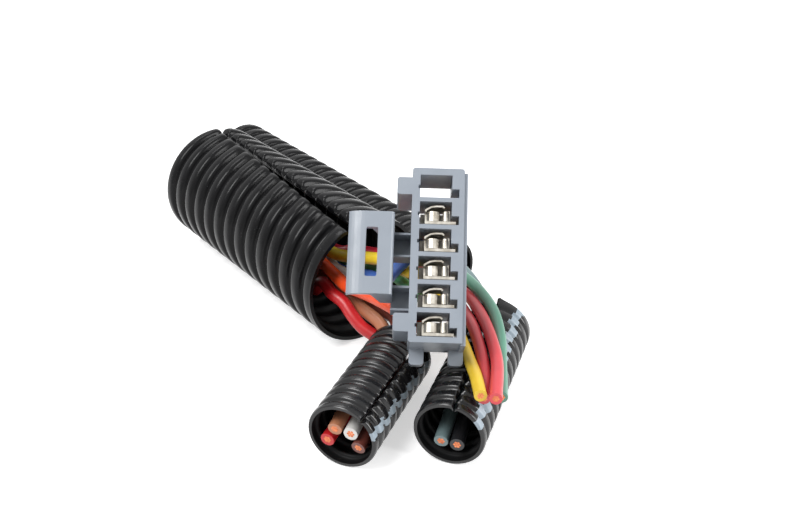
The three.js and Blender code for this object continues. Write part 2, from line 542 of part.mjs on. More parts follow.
// Wires: name, diameter, colour and the points each runs through, from its first end to its last.
// The first five leave the housing's cavities; the next four run from the left branch, and all nine
// go into the trunk. The rest leave the second loom for the right branch, over it or into it.
const wires = [
  ['wire_dark_red', WIRE, 0xb5303a, [
    [-0.36, 11.07, 46.96], [-0.36, 12.69, 45.33], [-0.36, 13.33, 44.69], [-1.2, 16, 42],
    [-3.4, 22.3, 36.3], [-5.1, 25.4, 33.3], [-8.6, 28.9, 31.7], [-15.7, 37.8, 30], [-19.7, 43, 28.1],
    [-25.5, 48.9, 25.6], [-29.8, 55.4, 21.7], [-40.1, 65.2, 21.9], [-51.3, 78.5, 20.6],
    [-77.5, 112.3, 15.9],
  ]],
  ['wire_blue', WIRE, 0x2f55a8, [
    [-0.09, 16.61, 52.5], [-0.09, 18.23, 50.87], [-0.09, 18.87, 50.24], [-0.8, 19.4, 48.5],
    [-2.8, 18.3, 46.8], [-5.4, 18.3, 43], [-10.7, 18.8, 36.5], [-13, 21.4, 32], [-15.2, 27, 27.5],
    [-19.3, 34.9, 24.1], [-25.3, 43.3, 20.2], [-30.8, 52.8, 16.7], [-40.1, 64.1, 16.2],
    [-50.9, 78.2, 15.4], [-75.7, 113.7, 11.7],
  ]],
  ['wire_yellow', WIRE, 0xe8c62c, [
    [-0.63, 5.53, 41.42], [-0.63, 7.15, 39.79], [-0.63, 7.79, 39.15], [-2.2, 10.6, 38.2],
    [-9.3, 23.5, 33.5], [-12.5, 27, 33.5], [-16, 31.1, 32.4], [-19.6, 35.6, 30.3], [-25.1, 41.1, 27.6],
    [-30.9, 48, 24.9], [-41.8, 59.3, 26], [-53.8, 73.8, 23.8], [-81.2, 109.3, 16.1],
  ]],
  ['wire_green', THIN_WIRE, 0x4f9a5e, [
    [-0.91, -0.01, 35.88], [-0.91, 1.61, 34.25], [-0.91, 2.25, 33.61], [-2.5, 6.3, 32.8],
    [-7.3, 19.9, 29.3], [-8.9, 24.8, 27.9], [-12.5, 30.9, 27.3], [-15.8, 36.8, 25.4],
    [-19.8, 42.8, 22.6], [-25.1, 50.2, 20.3], [-28.4, 57.7, 16.4], [-37.6, 67.9, 15.9],
    [-73.9, 115.1, 8.1],
  ]],
  ['wire_orange', WIRE, 0xf0682c, [
    [-1.18, -5.55, 30.34], [-1.18, -3.93, 28.71], [-1.18, -3.29, 28.07], [-2.6, -1.5, 27.6],
    [-5.1, 1.5, 28.1], [-9.1, 6.8, 27.7], [-12.5, 10.5, 28.3], [-16.2, 14.2, 28.3], [-18.9, 18.1, 27.4],
    [-22.6, 22.6, 26.3], [-26.1, 27.7, 24.7], [-29.6, 34.4, 24.1], [-34.2, 42.4, 24],
    [-37.4, 50.6, 21.7], [-47.8, 60.4, 20.4], [-58.6, 73.8, 17.8], [-83.1, 107.9, 11.8],
  ]],
  ['wire_white', WIRE, 0xd9d8d4, [
    [-23.28, -26.81, 11.6], [-15.1, -0.9, 11.31], [-10.4, 10.87, 10.97], [-6.6, 21.9, 15.1],
    [-10.7, 26.7, 18.9], [-17.7, 29.4, 20.8], [-23, 33.2, 22], [-27.5, 39, 22.6], [-30.9, 45.1, 21],
    [-34, 52.9, 20.1], [-43.7, 63.1, 19.8], [-54.5, 76.4, 17.6], [-79.3, 110.8, 11.1],
  ]],
  ['wire_red', WIRE, 0xc4262c, [
    [-29.8, -24.1, 7.4], [-20.3, -0.9, 8.2], [-16.11, 9.89, 9.28], [-14.3, 13.8, 9.6],
    [-16.3, 18.1, 11.3], [-21.5, 21.3, 13.8], [-24.6, 23.9, 16.4], [-27.4, 27.3, 19], [-31, 30.5, 20.3],
    [-34.4, 36.6, 20.8], [-37.8, 43.9, 13.6], [-46.2, 57.1, 9.9], [-60.4, 75.6, 8.4], [-84.8, 106.5, 8],
  ]],
  ['wire_tan', WIRE, 0xb9855a, [
    [-27.61, -25, 11.8], [-23.75, -13.82, 13.1], [-16.3, 4.87, 14.63], [-13.7, 11.2, 13.4],
    [-15.2, 19.4, 15.4], [-21.7, 27.7, 16.5], [-25.2, 35.7, 15.4], [-29, 43.9, 14.2],
    [-32.1, 52.5, 12.3], [-42.8, 62.6, 12], [-54.5, 75.8, 10.7], [-81.2, 109.3, 6.5],
  ]],
  ['wire_brown', WIRE, 0x6e3a30, [
    [-21.3, -27.6, 7.4], [-16.34, -16.54, 9.2], [-12.21, -6.04, 11.52], [-9.9, 3.6, 14.1],
    [-9.9, 12.2, 15.7], [-11.5, 20.9, 17.4], [-15.3, 27.2, 15.4], [-22.8, 40.3, 12.9],
    [-26.1, 47.9, 11.5], [-28.8, 55.7, 9.3], [-39.4, 65.8, 9.9], [-51, 78.9, 9.4], [-77.6, 112.2, 6.5],
  ]],
  ['wire_right_red_outer', THIN_WIRE, 0xc93d45, [
    [-74.4, 161.2, 10.69], [-49.67, 126.59, 12.18], [-27.01, 94.81, 14.5], [-8.8, 66.4, 15.4],
    [9.9, 43.5, 14.2], [12.6, 28.4, 19.5], [14.8, 14, 22.5], [16.3, 1, 23.5], [16.9, -10.2, 23.4],
    [14.8, -28.9, 25.1],
  ]],
  ['wire_right_red_inner', THIN_WIRE, 0xc93d45, [
    [-77.9, 158.3, 11.1], [-53.12, 124.44, 11.77], [-30.3, 93.61, 11.62], [-9, 68.4, 11.4],
    [8.9, 47.3, 9.3], [10.2, 33.1, 13.7], [10.5, 20.8, 19.1], [11.8, 8.4, 22.1], [13, -4, 22.3],
    [13.3, -14.3, 21.5], [12.2, -24.1, 21.3],
  ]],
  ['wire_right_yellow', THIN_WIRE, 0xe0bd30, [
    [-77.9, 158.3, 6.5], [-53.16, 124.76, 7.43], [-30.95, 94.3, 7.79], [-12.8, 68.4, 8.7],
    [1.6, 48.4, 10.9], [7.6, 28.9, 12.1], [7.3, 14.9, 18], [8, 2.3, 21.9], [9.5, -9.2, 22.8],
    [10.4, -18.5, 24.5], [10.9, -27.9, 25.3],
  ]],
  ['wire_right_green', THIN_WIRE, 0x6f9c8c, [
    [-74.2, 161.3, 6.3], [-24.57, 96.31, 10.34], [-10.53, 76.44, 13.3], [1.5, 59.1, 16.8],
    [10.1, 43.4, 19.8], [15.5, 29.3, 21.7], [18.4, 16.6, 22.5], [19.3, 5.1, 21.5], [18.6, -5.5, 19.9],
    [17.9, -14.3, 19.9], [17.1, -22.6, 20.7],
  ]],
  ['wire_black', WIRE, 0x222225, [
    [-75.7, 160.1, 15.91], [-23.02, 98.98, 15.19], [-3.09, 73.77, 14.17], [10.8, 52.1, 12.2],
    [16.4, 31.6, 9.3], [14.5, 12.8, 7.2], [5.5, -25.6, 6.8],
  ]],
  ['wire_grey', WIRE, 0x8a8d92, [
    [-79.5, 157.1, 15.1], [-52.65, 126.42, 16.67], [-28.13, 98.81, 18.28], [7.9, 57, 17.4],
    [16.4, 39.4, 14.7], [16.3, 23.9, 12.7], [11.1, 9.2, 10.9], [1.2, -24, 6.8],
  ]],
];
for (const [name, diameter, color, points] of wires) {
  addPiece(group, name, wireGeometry(points, diameter), wireFinish(color));
}

// The origin is the middle of the footprint of housing and looms, on the surface.
const bounds = new THREE.Box3();
group.updateMatrixWorld(true);
group.traverse((piece) => {
  if (piece.isMesh && !piece.name.startsWith('wire_')) bounds.expandByObject(piece, true);
});
const middle = bounds.getCenter(new THREE.Vector3());
group.position.set(-middle.x, -middle.y, -bounds.min.z);

export default group;
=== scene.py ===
# %% [markdown]
# # The connector end of a vehicle wiring harness
# Four runs of split corrugated loom lie on a table, coloured wires come out of them, and a grey
# moulded connector housing leans back over the place where they cross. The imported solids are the
# fixed frame: every piece made here takes its place from them, in metres, with +Z up.

# %% Load the frame
import math

import bpy
import numpy as np
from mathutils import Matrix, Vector


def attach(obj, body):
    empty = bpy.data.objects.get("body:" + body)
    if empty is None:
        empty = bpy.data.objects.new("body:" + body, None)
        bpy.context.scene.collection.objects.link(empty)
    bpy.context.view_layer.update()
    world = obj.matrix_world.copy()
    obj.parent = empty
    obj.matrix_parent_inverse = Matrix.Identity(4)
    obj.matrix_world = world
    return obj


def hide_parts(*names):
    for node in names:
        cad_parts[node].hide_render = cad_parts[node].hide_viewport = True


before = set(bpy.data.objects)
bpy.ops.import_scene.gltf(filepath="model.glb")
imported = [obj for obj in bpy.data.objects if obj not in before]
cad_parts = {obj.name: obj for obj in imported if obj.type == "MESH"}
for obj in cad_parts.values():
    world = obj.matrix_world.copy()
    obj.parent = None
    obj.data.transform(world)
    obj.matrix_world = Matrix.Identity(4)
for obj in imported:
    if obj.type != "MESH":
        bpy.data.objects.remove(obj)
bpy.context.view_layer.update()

MM = 0.001

# %% [markdown]
# The harness was laid out round the housing's front face, and then moved so that the origin is in
# the middle of its footprint. The same shift is applied here, so a layout point in millimetres can
# be used as it was chosen.

# %% The layout's shift
LAYOUT_SHIFT = np.array([32.8809, -68.8429, 0.0])


def place(point):
    """A layout point in millimetres as a point of the frame in metres."""
    return Vector((np.array(point, float) + LAYOUT_SHIFT) * MM)


# %% [markdown]
# The camera comes first, because the rest is judged through it. The picture was taken about 25 cm
# away with a short telephoto view, looking 30 degrees down. A lens is set by its focal length on a
# 36 mm sensor, and pointing the camera needs only one turn about X.

# %% Camera
camera = bpy.data.objects.new("camera", bpy.data.cameras.new("camera"))
bpy.context.scene.collection.objects.link(camera)
camera.location = place((-11.9, -228.1, 181.1))
camera.rotation_euler = (math.radians(60), 0, 0)
camera.data.lens = 44.24
camera.data.sensor_width = 36
camera.data.clip_start = 0.01
bpy.context.scene.camera = camera
bpy.context.scene.view_settings.view_transform = "Standard"
print("camera at, m:", [round(v, 3) for v in camera.location])

# %% [markdown]
# ## Shared effects
# Moulded plastic is never one flat colour: it has a fine grain, cloudy patches where the melt
# cooled unevenly, and a little dust. These effects are node groups, built once and placed in each
# material with that material's own values. A group puts out colours, masks and heights only, and
# the shader itself stays in the material.

# %% A small helper for node groups
def new_group(name, inputs, outputs):
    """A new node group with its sockets, and its input and output nodes."""
    group = bpy.data.node_groups.new(name, "ShaderNodeTree")
    for socket, kind, value in inputs:
        made = group.interface.new_socket(socket, in_out="INPUT", socket_type=kind)
        made.default_value = value
    for socket, kind in outputs:
        group.interface.new_socket(socket, in_out="OUTPUT", socket_type=kind)
    return group, group.nodes.new("NodeGroupInput"), group.nodes.new("NodeGroupOutput")


# %% [markdown]
# Cloudy colour: slow noise moves the colour a little between a darker and a lighter tone. It works
# on object coordinates, so it has a real size in metres and needs no unwrapping.

# %% Group: cloudy colour
def make_cloudy_colour():
    group, entry, leave = new_group(
        "cloudy_colour",
        [("Dark", "NodeSocketColor", (0.2, 0.2, 0.2, 1)), ("Light", "NodeSocketColor", (0.3, 0.3, 0.3, 1)),
         ("Scale", "NodeSocketFloat", 120.0), ("Contrast", "NodeSocketFloat", 1.0)],
        [("Color", "NodeSocketColor")],
    )
    nodes, links = group.nodes, group.links
    where = nodes.new("ShaderNodeTexCoord")
    noise = nodes.new("ShaderNodeTexNoise")
    noise.inputs["Detail"].default_value = 3
    links.new(where.outputs["Object"], noise.inputs["Vector"])
    links.new(entry.outputs["Scale"], noise.inputs["Scale"])
    spread = nodes.new("ShaderNodeMath")
    spread.operation = "MULTIPLY_ADD"
    centre = nodes.new("ShaderNodeMath")
    centre.operation = "SUBTRACT"
    centre.inputs[1].default_value = 0.5
    links.new(noise.outputs["Fac"], centre.inputs[0])
    links.new(centre.outputs[0], spread.inputs[0])
    links.new(entry.outputs["Contrast"], spread.inputs[1])
    spread.inputs[2].default_value = 0.5
    spread.use_clamp = True
    mix = nodes.new("ShaderNodeMix")
    mix.data_type = "RGBA"
    links.new(spread.outputs[0], mix.inputs["Factor"])
    links.new(entry.outputs["Dark"], mix.inputs["A"])
    links.new(entry.outputs["Light"], mix.inputs["B"])
    links.new(mix.outputs["Result"], leave.inputs["Color"])
    return group


cloudy_colour = make_cloudy_colour()

# %% [markdown]
# Moulding grain: a spark-eroded mould leaves a very fine pebbled skin. It is a height for a Bump
# node, and the same mask breaks up the gloss, because the tops of the grain are polished by hands.

# %% Group: moulding grain
def make_moulding_grain():
    group, entry, leave = new_group(
        "moulding_grain",
        [("Scale", "NodeSocketFloat", 3000.0), ("Smooth", "NodeSocketFloat", 0.35),
         ("Rough", "NodeSocketFloat", 0.5)],
        [("Height", "NodeSocketFloat"), ("Roughness", "NodeSocketFloat")],
    )
    nodes, links = group.nodes, group.links
    where = nodes.new("ShaderNodeTexCoord")
    fine = nodes.new("ShaderNodeTexNoise")
    fine.inputs["Detail"].default_value = 2
    links.new(where.outputs["Object"], fine.inputs["Vector"])
    links.new(entry.outputs["Scale"], fine.inputs["Scale"])
    slow = nodes.new("ShaderNodeTexNoise")
    slow.inputs["Scale"].default_value = 210
    slow.inputs["Detail"].default_value = 4
    links.new(where.outputs["Object"], slow.inputs["Vector"])
    gloss = nodes.new("ShaderNodeMapRange")
    links.new(slow.outputs["Fac"], gloss.inputs["Value"])
    gloss.inputs["From Min"].default_value = 0.3
    gloss.inputs["From Max"].default_value = 0.7
    links.new(entry.outputs["Smooth"], gloss.inputs["To Min"])
    links.new(entry.outputs["Rough"], gloss.inputs["To Max"])
    links.new(fine.outputs["Fac"], leave.inputs["Height"])
    links.new(gloss.outputs["Result"], leave.inputs["Roughness"])
    return group


moulding_grain = make_moulding_grain()

# %% [markdown]
# Dust: pale specks that lie on black plastic. Fine cells are thinned out by a slow noise, so they
# gather in patches as real dust does.

# %% Group: dust specks
def make_dust_specks():
    group, entry, leave = new_group(
        "dust_specks",
        [("Scale", "NodeSocketFloat", 900.0), ("Amount", "NodeSocketFloat", 0.3)],
        [("Mask", "NodeSocketFloat")],
    )
    nodes, links = group.nodes, group.links
    where = nodes.new("ShaderNodeTexCoord")
    cells = nodes.new("ShaderNodeTexVoronoi")
    links.new(where.outputs["Object"], cells.inputs["Vector"])
    links.new(entry.outputs["Scale"], cells.inputs["Scale"])
    speck = nodes.new("ShaderNodeMapRange")
    links.new(cells.outputs["Distance"], speck.inputs["Value"])
    speck.inputs["From Min"].default_value = 0.16
    speck.inputs["From Max"].default_value = 0.06
    patches = nodes.new("ShaderNodeTexNoise")
    patches.inputs["Scale"].default_value = 160
    links.new(where.outputs["Object"], patches.inputs["Vector"])
    gate = nodes.new("ShaderNodeMapRange")
    links.new(patches.outputs["Fac"], gate.inputs["Value"])
    gate.inputs["From Min"].default_value = 0.5
    gate.inputs["From Max"].default_value = 0.7
    both = nodes.new("ShaderNodeMath")
    both.operation = "MULTIPLY"
    links.new(speck.outputs["Result"], both.inputs[0])
    links.new(gate.outputs["Result"], both.inputs[1])
    amount = nodes.new("ShaderNodeMath")
    amount.operation = "MULTIPLY"
    links.new(both.outputs[0], amount.inputs[0])
    links.new(entry.outputs["Amount"], amount.inputs[1])
    links.new(amount.outputs[0], leave.inputs["Mask"])
    return group


dust_specks = make_dust_specks()
print("shared effects:", [group.name for group in bpy.data.node_groups])

# %% [markdown]
# ## Finishes
# Each finish is one Principled shader fed by the shared effects. Colours are written as the 8-bit
# values that a maker would read off a swatch, and turned into Blender's linear numbers.

# %% Colour and material helpers
def swatch(red, green, blue):
    """An 8-bit colour as the linear colour that a shader takes."""
    def linear(value):
        value /= 255
        return value / 12.92 if value <= 0.04045 else ((value + 0.055) / 1.055) ** 2.4

    return (linear(red), linear(green), linear(blue), 1)


DUST_COLOUR = swatch(150, 152, 156)


def moulded(name, dark, light, cloud_scale, grain_scale, bump_mm, smooth, rough,
            dust=0.0, coat=0.0, specular=0.5):
    """A moulded or extruded plastic: cloudy colour, fine grain, uneven gloss and a little dust."""
    material = bpy.data.materials.new(name)
    material.use_nodes = True
    nodes, links = material.node_tree.nodes, material.node_tree.links
    shader = nodes["Principled BSDF"]
    shader.inputs["Specular IOR Level"].default_value = specular
    shader.inputs["Coat Weight"].default_value = coat
    shader.inputs["Coat Roughness"].default_value = 0.12
    colour = nodes.new("ShaderNodeGroup")
    colour.node_tree = cloudy_colour
    colour.inputs["Dark"].default_value = dark
    colour.inputs["Light"].default_value = light
    colour.inputs["Scale"].default_value = cloud_scale
    grain = nodes.new("ShaderNodeGroup")
    grain.node_tree = moulding_grain
    grain.inputs["Scale"].default_value = grain_scale
    grain.inputs["Smooth"].default_value = smooth
    grain.inputs["Rough"].default_value = rough
    bump = nodes.new("ShaderNodeBump")
    bump.inputs["Strength"].default_value = 0.5
    bump.inputs["Distance"].default_value = bump_mm * MM
    links.new(grain.outputs["Height"], bump.inputs["Height"])
    links.new(bump.outputs["Normal"], shader.inputs["Normal"])
    links.new(grain.outputs["Roughness"], shader.inputs["Roughness"])
    if dust:
        specks = nodes.new("ShaderNodeGroup")
        specks.node_tree = dust_specks
        specks.inputs["Amount"].default_value = dust
        dusty = nodes.new("ShaderNodeMix")
        dusty.data_type = "RGBA"
        dusty.inputs["B"].default_value = DUST_COLOUR
        links.new(specks.outputs["Mask"], dusty.inputs["Factor"])
        links.new(colour.outputs["Color"], dusty.inputs["A"])
        links.new(dusty.outputs["Result"], shader.inputs["Base Color"])
    else:
        links.new(colour.outputs["Color"], shader.inputs["Base Color"])
    return material


# %% [markdown]
# The loom is black polypropylene, extruded and then blown into a corrugated mould, so its crests
# are satin and catch long soft lights. The thinner branch looms are glossier and carry a grey
# tracer stripe. The wires are PVC.

# %% Plastics
loom_black = moulded(
    "loom_black", swatch(10, 10, 11), swatch(19, 19, 21), cloud_scale=140, grain_scale=2200,
    bump_mm=0.006, smooth=0.2, rough=0.28, dust=0.22, specular=0.16)
branch_black = moulded(
    "branch_black", swatch(11, 11, 12), swatch(26, 26, 28), cloud_scale=140, grain_scale=2200,
    bump_mm=0.006, smooth=0.2, rough=0.3, dust=0.3, specular=0.45)
# The inside of the tube is the same black plastic as the outside. Its darker colour is painted shade for the
# shadow inside the tube, and it is also rougher.
loom_inside_painted_shade = moulded(
    "loom_inside_painted_shade", swatch(6, 6, 7), swatch(12, 12, 13), cloud_scale=140, grain_scale=2200,
    bump_mm=0.01, smooth=0.55, rough=0.7, specular=0.18)
tracer_grey = moulded(
    "tracer_grey", swatch(132, 146, 156), swatch(160, 172, 182), cloud_scale=300, grain_scale=2200,
    bump_mm=0.02, smooth=0.35, rough=0.5)
nylon_grey = moulded(
    "nylon_grey", swatch(124, 131, 140), swatch(139, 146, 155), cloud_scale=90, grain_scale=2600,
    bump_mm=0.02, smooth=0.3, rough=0.44)
INSULATION_SHADE = 0.88



def insulation(name, red, green, blue):
    """Wire insulation: an even colour, nearly smooth, with the faint unevenness of extrusion."""
    darker = swatch(red * INSULATION_SHADE, green * INSULATION_SHADE, blue * INSULATION_SHADE)
    return moulded(name, darker, swatch(red, green, blue), cloud_scale=160, grain_scale=900,
                   bump_mm=0.006, smooth=0.34, rough=0.44, coat=0.05)


# %% [markdown]
# Terminals are stamped from copper alloy and tin plated. The plating is bright and slightly warm,
# and rolling leaves fine streaks along the strip, which is why the noise is stretched one way. The
# bare strands in a cut wire are the same kind of metal without the plating, so one function makes
# both.

# %% Tin plate and bare copper
def drawn_metal(name, dark, light, cloud_scale, smooth, rough):
    """A drawn or rolled metal: streaky gloss along X and a patchy tone."""
    material = bpy.data.materials.new(name)
    material.use_nodes = True
    nodes, links = material.node_tree.nodes, material.node_tree.links
    shader = nodes["Principled BSDF"]
    shader.inputs["Metallic"].default_value = 1.0
    where = nodes.new("ShaderNodeTexCoord")
    stretch = nodes.new("ShaderNodeMapping")
    stretch.inputs["Scale"].default_value = (0.15, 1, 1)
    streaks = nodes.new("ShaderNodeTexNoise")
    streaks.inputs["Scale"].default_value = 2500
    streaks.inputs["Detail"].default_value = 4
    links.new(where.outputs["Object"], stretch.inputs["Vector"])
    links.new(stretch.outputs["Vector"], streaks.inputs["Vector"])
    gloss = nodes.new("ShaderNodeMapRange")
    gloss.inputs["To Min"].default_value = smooth
    gloss.inputs["To Max"].default_value = rough
    links.new(streaks.outputs["Fac"], gloss.inputs["Value"])
    links.new(gloss.outputs["Result"], shader.inputs["Roughness"])
    colour = nodes.new("ShaderNodeGroup")
    colour.node_tree = cloudy_colour
    colour.inputs["Dark"].default_value = dark
    colour.inputs["Light"].default_value = light
    colour.inputs["Scale"].default_value = cloud_scale
    colour.inputs["Contrast"].default_value = 1.6
    links.new(colour.outputs["Color"], shader.inputs["Base Color"])
    bump = nodes.new("ShaderNodeBump")
    bump.inputs["Strength"].default_value = 0.25
    bump.inputs["Distance"].default_value = 0.02 * MM
    links.new(streaks.outputs["Fac"], bump.inputs["Height"])
    links.new(bump.outputs["Normal"], shader.inputs["Normal"])
    return material


tin_plate = drawn_metal("tin_plate", swatch(126, 119, 106), swatch(202, 198, 190),
                        cloud_scale=500, smooth=0.36, rough=0.52)
bare_copper = drawn_metal("bare_copper", swatch(170, 92, 58), swatch(226, 142, 100),
                          cloud_scale=900, smooth=0.25, rough=0.45)
print("finishes:", [material.name for material in bpy.data.materials])

# %% [markdown]
# ## Wires
# Each wire is a cord of known diameter on a smooth route. A curve object with a round bevel is the
# right tool: it stays one open spline, and its thickness is exact. The route's chosen points are
# those of the solid. The same centripetal Catmull-Rom curve is run through them, so that the piece
# lies where the solid does.

# %% Routes of the wires, in layout millimetres
WIRES = [
    ("wire_dark_red", 4, (196, 40, 58),
     [(-0.36, 11.07, 46.96), (-0.36, 12.69, 45.33), (-0.36, 13.33, 44.69), (-1.2, 16, 42),
      (-3.4, 22.3, 36.3), (-5.1, 25.4, 33.3), (-8.6, 28.9, 31.7), (-15.7, 37.8, 30), (-19.7, 43, 28.1),
      (-25.5, 48.9, 25.6), (-29.8, 55.4, 21.7), (-40.1, 65.2, 21.9), (-51.3, 78.5, 20.6),
      (-77.5, 112.3, 15.9)]),
    ("wire_blue", 4, (66, 108, 190),
     [(-0.09, 16.61, 52.5), (-0.09, 18.23, 50.87), (-0.09, 18.87, 50.24), (-0.8, 19.4, 48.5),
      (-2.8, 18.3, 46.8), (-5.4, 18.3, 43), (-10.7, 18.8, 36.5), (-13, 21.4, 32), (-15.2, 27, 27.5),
      (-19.3, 34.9, 24.1), (-25.3, 43.3, 20.2), (-30.8, 52.8, 16.7), (-40.1, 64.1, 16.2),
      (-50.9, 78.2, 15.4), (-75.7, 113.7, 11.7)]),
    ("wire_yellow", 4, (236, 204, 52),
     [(-0.63, 5.53, 41.42), (-0.63, 7.15, 39.79), (-0.63, 7.79, 39.15), (-2.2, 10.6, 38.2),
      (-9.3, 23.5, 33.5), (-12.5, 27, 33.5), (-16, 31.1, 32.4), (-19.6, 35.6, 30.3), (-25.1, 41.1, 27.6),
      (-30.9, 48, 24.9), (-41.8, 59.3, 26), (-53.8, 73.8, 23.8), (-81.2, 109.3, 16.1)]),
    ("wire_green", 3.5, (96, 170, 110),
     [(-0.91, -0.01, 35.88), (-0.91, 1.61, 34.25), (-0.91, 2.25, 33.61), (-2.5, 6.3, 32.8),
      (-7.3, 19.9, 29.3), (-8.9, 24.8, 27.9), (-12.5, 30.9, 27.3), (-15.8, 36.8, 25.4),
      (-19.8, 42.8, 22.6), (-25.1, 50.2, 20.3), (-28.4, 57.7, 16.4), (-37.6, 67.9, 15.9),
      (-73.9, 115.1, 8.1)]),
    ("wire_orange", 4, (246, 82, 34),
     [(-1.18, -5.55, 30.34), (-1.18, -3.93, 28.71), (-1.18, -3.29, 28.07), (-2.6, -1.5, 27.6),
      (-5.1, 1.5, 28.1), (-9.1, 6.8, 27.7), (-12.5, 10.5, 28.3), (-16.2, 14.2, 28.3),
      (-18.9, 18.1, 27.4), (-22.6, 22.6, 26.3), (-26.1, 27.7, 24.7), (-29.6, 34.4, 24.1),
      (-34.2, 42.4, 24), (-37.4, 50.6, 21.7), (-47.8, 60.4, 20.4), (-58.6, 73.8, 17.8),
      (-83.1, 107.9, 11.8)]),
    ("wire_white", 4, (226, 224, 220),
     [(-23.28, -26.81, 11.6), (-15.1, -0.9, 11.31), (-10.4, 10.87, 10.97), (-6.6, 21.9, 15.1),
      (-10.7, 26.7, 18.9), (-17.7, 29.4, 20.8), (-23, 33.2, 22), (-27.5, 39, 22.6), (-30.9, 45.1, 21),
      (-34, 52.9, 20.1), (-43.7, 63.1, 19.8), (-54.5, 76.4, 17.6), (-79.3, 110.8, 11.1)]),
    ("wire_red", 4, (200, 30, 36),
     [(-29.8, -24.1, 7.4), (-20.3, -0.9, 8.2), (-16.11, 9.89, 9.28), (-14.3, 13.8, 9.6),
      (-16.3, 18.1, 11.3), (-21.5, 21.3, 13.8), (-24.6, 23.9, 16.4), (-27.4, 27.3, 19),
      (-31, 30.5, 20.3), (-34.4, 36.6, 20.8), (-37.8, 43.9, 13.6), (-46.2, 57.1, 9.9),
      (-60.4, 75.6, 8.4), (-84.8, 106.5, 8)]),
    ("wire_tan", 4, (190, 126, 92),
     [(-27.61, -25, 11.8), (-23.75, -13.82, 13.1), (-16.3, 4.87, 14.63), (-13.7, 11.2, 13.4),
      (-15.2, 19.4, 15.4), (-21.7, 27.7, 16.5), (-25.2, 35.7, 15.4), (-29, 43.9, 14.2),
      (-32.1, 52.5, 12.3), (-42.8, 62.6, 12), (-54.5, 75.8, 10.7), (-81.2, 109.3, 6.5)]),
    ("wire_brown", 4, (112, 58, 48),
     [(-21.3, -27.6, 7.4), (-16.34, -16.54, 9.2), (-12.21, -6.04, 11.52), (-9.9, 3.6, 14.1),
      (-9.9, 12.2, 15.7), (-11.5, 20.9, 17.4), (-15.3, 27.2, 15.4), (-22.8, 40.3, 12.9),
      (-26.1, 47.9, 11.5), (-28.8, 55.7, 9.3), (-39.4, 65.8, 9.9), (-51, 78.9, 9.4), (-77.6, 112.2, 6.5)]),
    ("wire_right_red_outer", 3.5, (212, 70, 77),
     [(-74.4, 161.2, 10.69), (-49.67, 126.59, 12.18), (-27.01, 94.81, 14.5), (-8.8, 66.4, 15.4),
      (9.9, 43.5, 14.2), (12.6, 28.4, 19.5), (14.8, 14, 22.5), (16.3, 1, 23.5), (16.9, -10.2, 23.4),
      (14.8, -28.9, 25.1)]),
    ("wire_right_red_inner", 3.5, (212, 70, 77),
     [(-77.9, 158.3, 11.1), (-53.12, 124.44, 11.77), (-30.3, 93.61, 11.62), (-9, 68.4, 11.4),
      (8.9, 47.3, 9.3), (10.2, 33.1, 13.7), (10.5, 20.8, 19.1), (11.8, 8.4, 22.1), (13, -4, 22.3),
      (13.3, -14.3, 21.5), (12.2, -24.1, 21.3)]),
    ("wire_right_yellow", 3.5, (224, 188, 50),
     [(-77.9, 158.3, 6.5), (-53.16, 124.76, 7.43), (-30.95, 94.3, 7.79), (-12.8, 68.4, 8.7),
      (1.6, 48.4, 10.9), (7.6, 28.9, 12.1), (7.3, 14.9, 18), (8, 2.3, 21.9), (9.5, -9.2, 22.8),
      (10.4, -18.5, 24.5), (10.9, -27.9, 25.3)]),
    ("wire_right_green", 3.5, (98, 152, 130),
     [(-74.2, 161.3, 6.3), (-24.57, 96.31, 10.34), (-10.53, 76.44, 13.3), (1.5, 59.1, 16.8),
      (10.1, 43.4, 19.8), (15.5, 29.3, 21.7), (18.4, 16.6, 22.5), (19.3, 5.1, 21.5), (18.6, -5.5, 19.9),
      (17.9, -14.3, 19.9), (17.1, -22.6, 20.7)]),
    ("wire_black", 4, (30, 30, 33),
     [(-75.7, 160.1, 15.91), (-23.02, 98.98, 15.19), (-3.09, 73.77, 14.17), (10.8, 52.1, 12.2),
      (16.4, 31.6, 9.3), (14.5, 12.8, 7.2), (5.5, -25.6, 6.8)]),
    ("wire_grey", 4, (112, 132, 134),
     [(-79.5, 157.1, 15.1), (-52.65, 126.42, 16.67), (-28.13, 98.81, 18.28), (7.9, 57, 17.4),
      (16.4, 39.4, 14.7), (16.3, 23.9, 12.7), (11.1, 9.2, 10.9), (1.2, -24, 6.8)]),
]

# %% The curve through a route's points
def smooth_route(points, steps=8):
    """Centripetal Catmull-Rom curve through the points, as a dense list of points."""
    p = np.array(points, float)
    dense = []
    for i in range(len(p) - 1):
        before = p[i - 1] if i else 2 * p[0] - p[1]
        after = p[i + 2] if i + 2 < len(p) else 2 * p[-1] - p[-2]
        start, end = p[i], p[i + 1]
        d0, d1, d2 = (np.linalg.norm(b - a) ** 0.5 for a, b in ((before, start), (start, end), (end, after)))
        leave = ((start - before) / d0 - (end - before) / (d0 + d1) + (end - start) / d1) * d1
        arrive = ((end - start) / d1 - (after - start) / (d1 + d2) + (after - end) / d2) * d1
        for k in range(steps):
            t = k / steps
            dense.append((2 * start - 2 * end + leave + arrive) * t**3
                         + (-3 * start + 3 * end - 2 * leave - arrive) * t**2 + leave * t + start)
    dense.append(p[-1])
    return np.array(dense)


# %% [markdown]
# The wires are cut square where they end in the open or in a loom. There the seven copper strands
# show in the middle of the insulation, so the cut ends get small strands that stand out of the cut
# by a few hundredths of a millimetre. The rings of a strand are (millimetres ahead of the cut, share
# of the strand's radius), and the strands together fill about half of the wire's width.

# %% The strands in a cut end
COPPER_SHARE = 0.55
STRAND_SIDES = 10
STRAND_RINGS = ((-0.5, 1.0), (0.02, 1.0), (0.06, 0.7))


